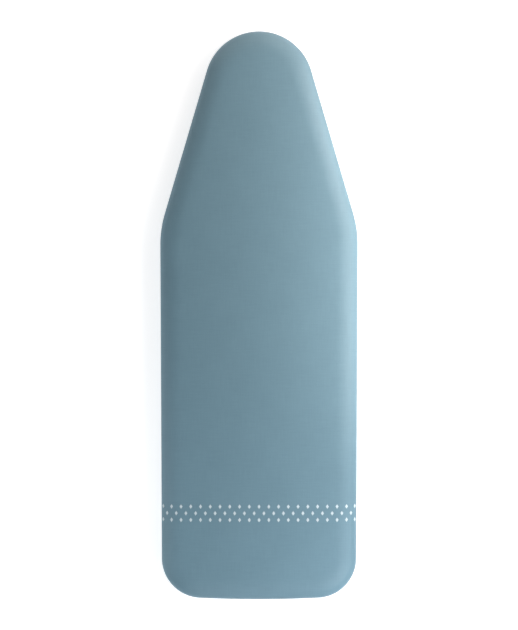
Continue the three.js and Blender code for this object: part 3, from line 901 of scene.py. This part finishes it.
def rounded_bar(name, sections, axis, corner=4.0, sides=56):
    """A bar along X or Y with rounded sections. Each section is its place on the bar, its centre across and
    up, and its half sizes across and up. A section of no size closes an end."""
    angles = np.arange(sides) * 2 * math.pi / sides
    across = np.sign(np.cos(angles)) * np.abs(np.cos(angles)) ** (2 / corner)
    up = np.sign(np.sin(angles)) * np.abs(np.sin(angles)) ** (2 / corner)
    rings = []
    for place, (centre_across, centre_up), (half_across, half_up) in sections:
        flat = [np.full(sides, place), centre_across + half_across * across]
        flat = flat if axis == "X" else flat[::-1]
        rings.append(np.column_stack([*flat, centre_up + half_up * up]))
    return facing_out(ring_mesh(name, rings))


def soft_ends(start, end, half, soft, centre, between=()):
    """Sections of a bar whose ends are rounded over by a radius, and any sections between its ends."""
    rounding = []
    for angle in np.linspace(0, math.pi / 2, ROUNDING_STEPS + 1):
        trim = soft * (1 - math.sin(angle))
        rounding.append((soft * (1 - math.cos(angle)), (half[0] - trim, half[1] - trim)))
    first = [(start + into, centre, size) for into, size in rounding]
    last = [(end - into, centre, size) for into, size in rounding[::-1]]
    return [(start, centre, (0, 0)), *first, *between, *last, (end, centre, (0, 0))]


def grip(start, end, count, depth, half, centre, steps):
    """Sections of a stretch of bar with a count of shallow grooves round it, in so many steps each."""
    sections = []
    for share in np.linspace(0, 1, count * steps + 1):
        sink = depth * (0.5 - 0.5 * math.cos(2 * math.pi * count * share))
        sections.append((start + (end - start) * share, centre, (half[0] - sink, half[1] - sink)))
    return sections


def carved(made, cutters, edge):
    """Cuts the cutters out of a piece, breaks its sharp edges, and removes the cutters."""
    for number, cutter in enumerate(cutters):
        cut = made.modifiers.new(f"cut{number}", "BOOLEAN")
        cut.operation = "DIFFERENCE"
        cut.object = cutter
    applied(made)
    broken = made.modifiers.new("edges", "BEVEL")
    broken.width = edge
    broken.segments = 2
    broken.limit_method = "ANGLE"
    broken.angle_limit = SHARP_ANGLE
    applied(made)
    for cutter in cutters:
        bpy.data.objects.remove(cutter)
    made.data.shade_smooth()
    made.data.set_sharp_from_angle(angle=CREASE_ANGLE)
    return made


plastic = plastic_finish()
bell_low, bell_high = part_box("cord_end")
bell_centre = (0, (bell_low.z + bell_high.z) / 2)
bell_half = (bell_high.x, (bell_high.z - bell_low.z) / 2)
groove_ends = (bell_low.y + GROOVES_START, bell_high.y - GROOVES_END)
grooved = grip(*groove_ends, GROOVES, GROOVE_DEPTH, bell_half, bell_centre, steps=12)
bell_sections = soft_ends(bell_low.y, bell_high.y, bell_half, BELL_SOFT, bell_centre, grooved)
tapered = []
for place, centre, (half, up) in bell_sections:
    share = (place - bell_low.y) / (bell_high.y - bell_low.y)
    tapered.append((place, centre, (half * (1 - BELL_TAPER / bell_half[0] * share), up)))
bell = add_piece(rounded_bar("cord_bell", tapered, "Y"), plastic)
drill_ends = (bell_low.y - CUTTER_PAST, bell_low.y + SOCKET_DEPTH)
drills = []
for x in (-CORD_OFFSET, CORD_OFFSET):
    drill = soft_ends(*drill_ends, (SOCKET_RADIUS, SOCKET_RADIUS), CUTTER_SOFT, (x, bell_centre[1]))
    drills.append(add_piece(rounded_bar("socket", drill, "Y", corner=2.0, sides=28), plastic))
carved(bell, drills, BELL_EDGE)
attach(bell, "cover")
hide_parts("cord_end")

# Cord lock body
# The lock's housing, moulded in charcoal plastic. It is closed at one end, which has three grip ribs,
# and open at the other for the plunger. A slot runs across it for the two cords that it slides along.
WALL = 0.0014
LOCK_SOFT = 0.001
LOCK_EDGE = 0.00018
RIBS = 3
RIB_PITCH = 0.0015
RIB_DEPTH = 0.00028
RIBS_START = 0.0014
RUN_GAP = 0.0003
CAVITY_SOFT = 0.0003
SLOT_HALF_HEIGHT = 0.0018
SLOT_PAST = 0.003
PINCH_HALF = 0.00355
PLUNGER_TRAVEL = 0.004
lock_low, lock_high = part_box("cord_lock_body")
push_low, push_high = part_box("cord_lock_plunger")
spring_low, spring_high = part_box("cord_lock_spring")
lock_centre = ((lock_low.y + lock_high.y) / 2, (lock_low.z + lock_high.z) / 2)
lock_half = ((lock_high.y - lock_low.y) / 2, (lock_high.z - lock_low.z) / 2)
rib_ends = (lock_low.x + RIBS_START, lock_low.x + RIBS_START + RIBS * RIB_PITCH)
ribbed = grip(*rib_ends, RIBS, RIB_DEPTH, lock_half, lock_centre, steps=9)
lock_sections = soft_ends(lock_low.x, lock_high.x, lock_half, LOCK_SOFT, lock_centre, ribbed)
housing = add_piece(rounded_bar("lock_housing", lock_sections, "X", corner=5.0), plastic)
hollow = (lock_half[0] - WALL, lock_half[1] - WALL)
cavity_ends = (spring_low.x - RUN_GAP, lock_high.x + CUTTER_PAST)
cavity_sections = soft_ends(*cavity_ends, hollow, CAVITY_SOFT, lock_centre)


def slot_cutter(name, start, end):
    """A bar along Y in the shape of the cords' slot, from one x to another."""
    middle = ((start + end) / 2, lock_centre[1])
    half = ((end - start) / 2, SLOT_HALF_HEIGHT)
    sections = soft_ends(lock_low.y - SLOT_PAST, lock_high.y + SLOT_PAST, half, CUTTER_SOFT, middle)
    return add_piece(rounded_bar(name, sections, "Y", corner=5.0, sides=48), plastic)


cutters = [
    add_piece(rounded_bar("cavity", cavity_sections, "X", corner=6.0), plastic),
    slot_cutter("body_slot", -PINCH_HALF - PLUNGER_TRAVEL, PINCH_HALF),
]
carved(housing, cutters, LOCK_EDGE)
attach(housing, "cord_lock")
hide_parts("cord_lock_body")

# Cord lock spring
# A coil of drawn steel wire, wound with open turns. It stands loose in the housing, between its floor
# and the plunger, and is held there by both.
SPRING_TURNS = 5
TURN_SIDES = 28
WIRE_RADIUS = 0.00035
WIRE_SIDES = 12
WIRE_SHADES = [(0.3, (0.40, 0.41, 0.42)), (0.7, (0.55, 0.56, 0.57))]


def wire_finish():
    material, sockets, place = new_finish("spring_wire", {"Metallic": 1.0})
    drawn = speckle(place, scale=4000)
    drawn.shaded(WIRE_SHADES).into(sockets["Base Color"])
    (0.25 + drawn * 0.15).into(sockets["Roughness"])
    return material


coil_radius = (spring_high.z - spring_low.z) / 2 - WIRE_RADIUS
coil_steps = SPRING_TURNS * TURN_SIDES + 1
coil_turn = np.linspace(0, 2 * math.pi * SPRING_TURNS, coil_steps)
coil_x = np.linspace(spring_low.x + WIRE_RADIUS, spring_high.x - WIRE_RADIUS, coil_steps)
wire_turn = np.arange(WIRE_SIDES) * 2 * math.pi / WIRE_SIDES
wire_out = coil_radius + WIRE_RADIUS * np.cos(wire_turn)[None, :]
coil_axes = [
    coil_x[:, None] + WIRE_RADIUS * np.sin(wire_turn)[None, :],
    lock_centre[0] + wire_out * np.cos(coil_turn)[:, None],
    lock_centre[1] + wire_out * np.sin(coil_turn)[:, None],
]
coil_points = np.stack(coil_axes, axis=-1)
coil_faces = [list(f) for f in ring_faces(coil_steps, WIRE_SIDES)]
for first in (0, (coil_steps - 1) * WIRE_SIDES):
    coil_faces.append(list(range(first, first + WIRE_SIDES)))
coil_mesh = facing_out(make_mesh("lock_coil", coil_points.reshape(-1, 3), coil_faces))
coil = add_piece(coil_mesh, wire_finish())
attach(coil, "cord_lock")
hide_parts("cord_lock_spring")
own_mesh(coil)

# Cord lock plunger
# The button, moulded in the same plastic, that the spring pushes out of the housing. Its slot pinches both
# cords against the housing's, and its head is dished a little for the thumb.
HEAD_LENGTH = 0.0038
HEAD_SOFT = 0.0011
SHAFT_SOFT = 0.0004
DISH = [(0.0001, 0.62), (0.0005, 0.4), (0.0007, 0)]
shaft_half = (hollow[0] - RUN_GAP, hollow[1] - RUN_GAP)
head_half = ((push_high.y - push_low.y) / 2, (push_high.z - push_low.z) / 2)
head_start = push_high.x - HEAD_LENGTH
button_sections = soft_ends(push_low.x, head_start, shaft_half, SHAFT_SOFT, lock_centre)[:-1]
button_sections += soft_ends(head_start, push_high.x, head_half, HEAD_SOFT, lock_centre)[1:-1]
for depth, share in DISH:
    button_sections.append((push_high.x - depth, lock_centre, (head_half[0] * share, head_half[1] * share)))
button = add_piece(rounded_bar("lock_button", button_sections, "X", corner=5.0), plastic)
carved(button, [slot_cutter("button_slot", -PINCH_HALF, PINCH_HALF + PLUNGER_TRAVEL)], LOCK_EDGE)
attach(button, "lock_plunger")
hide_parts("cord_lock_plunger")

# Studio
# A plain pale floor that is clear from below, two long soft lamps close on the right, fills on the other
# sides, one lamp under the floor for views from below, and a camera straight above.
FLOOR_HALF = 6
FLOOR_GREY = (0.82, 0.82, 0.82, 1)
FLOOR_GLOW = 0.6
FLOOR_OVAL = (2.2, 1.25, 1)
FLOOR_NEAR = 0.8
FLOOR_FAR = 1.35
WHITE = (1, 1, 1, 1)
BACKDROP = 1
AIR_LIGHT = 0.06
floor_corners = [(x * FLOOR_HALF, y * FLOOR_HALF, 0) for x, y in ((-1, -1), (1, -1), (1, 1), (-1, 1))]
pale = {"Base Color": FLOOR_GREY, "Roughness": 0.9, "Emission Color": WHITE}
floor_material, floor_sockets, floor_place = new_finish("pale_floor", pale)
rays = ("Is Camera Ray", "Is Glossy Ray", "Is Transmission Ray")
camera_ray, glossy_ray, clear_ray = (floor_place.node("ShaderNodeLightPath", output=ray) for ray in rays)
oval = floor_place.node("ShaderNodeMapping", {}, {"Vector": floor_place, "Scale": FLOOR_OVAL})
away = floor_place.node("ShaderNodeVectorMath", {"operation": "LENGTH"}, {0: oval}, "Value")
spread = {"From Min": FLOOR_NEAR, "From Max": FLOOR_FAR, "To Min": FLOOR_GLOW, "To Max": BACKDROP}
glow = floor_place.node("ShaderNodeMapRange", {}, {"Value": away, **spread})
((camera_ray + glossy_ray + clear_ray) * glow).into(floor_sockets["Emission Strength"])
from_below = floor_place.node("ShaderNodeNewGeometry", output="Backfacing")
to_lamp = floor_place.node("ShaderNodeLightPath", output="Is Shadow Ray")
floor_nodes = floor_material.node_tree.nodes
layers = {
    0: from_below.apply("MAXIMUM", to_lamp),
    1: Wire(floor_material.node_tree, floor_nodes["Principled BSDF"].outputs["BSDF"]),
    2: floor_place.node("ShaderNodeBsdfTransparent"),
}
sided = floor_place.node("ShaderNodeMixShader", {}, layers)
sided.into(floor_nodes["Material Output"].inputs["Surface"])
floor = add_piece(make_mesh("floor", floor_corners, [(0, 1, 2, 3)]), floor_material)

WARM_WHITE = (1, 0.945, 0.915)
COOL_WHITE = (0.895, 0.952, 1)


def soft_lamp(name, place, aim, width, height, power, white):
    """An area lamp at a place, turned to an aim."""
    light = bpy.data.lights.new(name, "AREA")
    light.shape = "RECTANGLE"
    light.size = width
    light.size_y = height
    light.energy = power
    light.color = white
    lamp = bpy.data.objects.new(name, light)
    lamp.location = place
    lamp.visible_camera = False
    lamp.rotation_euler = (Vector(aim) - Vector(place)).to_track_quat("-Z", "Y").to_euler()
    bpy.context.scene.collection.objects.link(lamp)


soft_lamp("right_strip", (0.5, 0.2, 0.35), (0, 0.2, 0), 1.0, 0.3, 2.9, WARM_WHITE)
soft_lamp("right_close", (0.42, 0.2, 0.25), (0, 0.2, 0), 0.9, 0.2, 1.35, WARM_WHITE)
soft_lamp("nose_right", (0.9, 0.8, 0.6), (0, 0, 0), 0.6, 0.5, 4.1, WARM_WHITE)
soft_lamp("nose_lamp", (0.25, 1.1, 0.35), (0, 0, 0), 0.6, 0.3, 2.4, WARM_WHITE)
soft_lamp("nose_left", (-0.6, 1.2, 0.6), (0, 0, 0), 0.6, 0.4, 2.0, WARM_WHITE)
soft_lamp("tail_lamp", (0, -1.5, 0.7), (0, 0, 0), 0.8, 0.5, 3.8, COOL_WHITE)
soft_lamp("tail_high", (0, -1.1, 1.3), (0, -0.4, 0), 0.8, 0.6, 1.8, COOL_WHITE)
soft_lamp("tail_right", (0.5, -0.75, 0.45), (0.05, -0.4, 0), 0.5, 0.3, 3.4, COOL_WHITE)
soft_lamp("left_low", (-0.55, 0, 0.16), (0, 0, 0), 1.5, 0.2, 1.05, COOL_WHITE)
soft_lamp("left_tail", (-0.9, -0.6, 0.6), (0, -0.4, 0), 0.6, 0.4, 1.7, COOL_WHITE)
soft_lamp("under_lamp", (0.5, -0.9, -1.1), (0, 0, 0), 1.2, 1.2, 17, WARM_WHITE)

world = bpy.data.worlds.new("studio")
world.use_nodes = True
air = world.node_tree.nodes["Background"].inputs
air["Color"].default_value = WHITE
air_ray = world.node_tree.nodes.new("ShaderNodeLightPath").outputs["Is Camera Ray"]
(Wire(world.node_tree, air_ray) * (BACKDROP - AIR_LIGHT) + AIR_LIGHT).into(air["Strength"])
bpy.context.scene.world = world
bpy.context.scene.view_settings.view_transform = "Standard"

# The camera shows the cover as long as it is in the photograph, in pixels, and as far off the middle.
CAMERA_HEIGHT = 4.0
SENSOR = 36
FRAME_PIXELS = 630
LENGTH_PIXELS = 567.15
AXIS_PIXELS = (-0.05, 0.275)
pixel = LENGTH / LENGTH_PIXELS
camera_data = bpy.data.cameras.new("camera")
camera_data.sensor_width = SENSOR
camera_data.lens = SENSOR * (CAMERA_HEIGHT - turn_z) / (FRAME_PIXELS * pixel)
camera = bpy.data.objects.new("camera", camera_data)
camera.location = (AXIS_PIXELS[0] * pixel, AXIS_PIXELS[1] * pixel, CAMERA_HEIGHT)
bpy.context.scene.collection.objects.link(camera)
bpy.context.scene.camera = camera
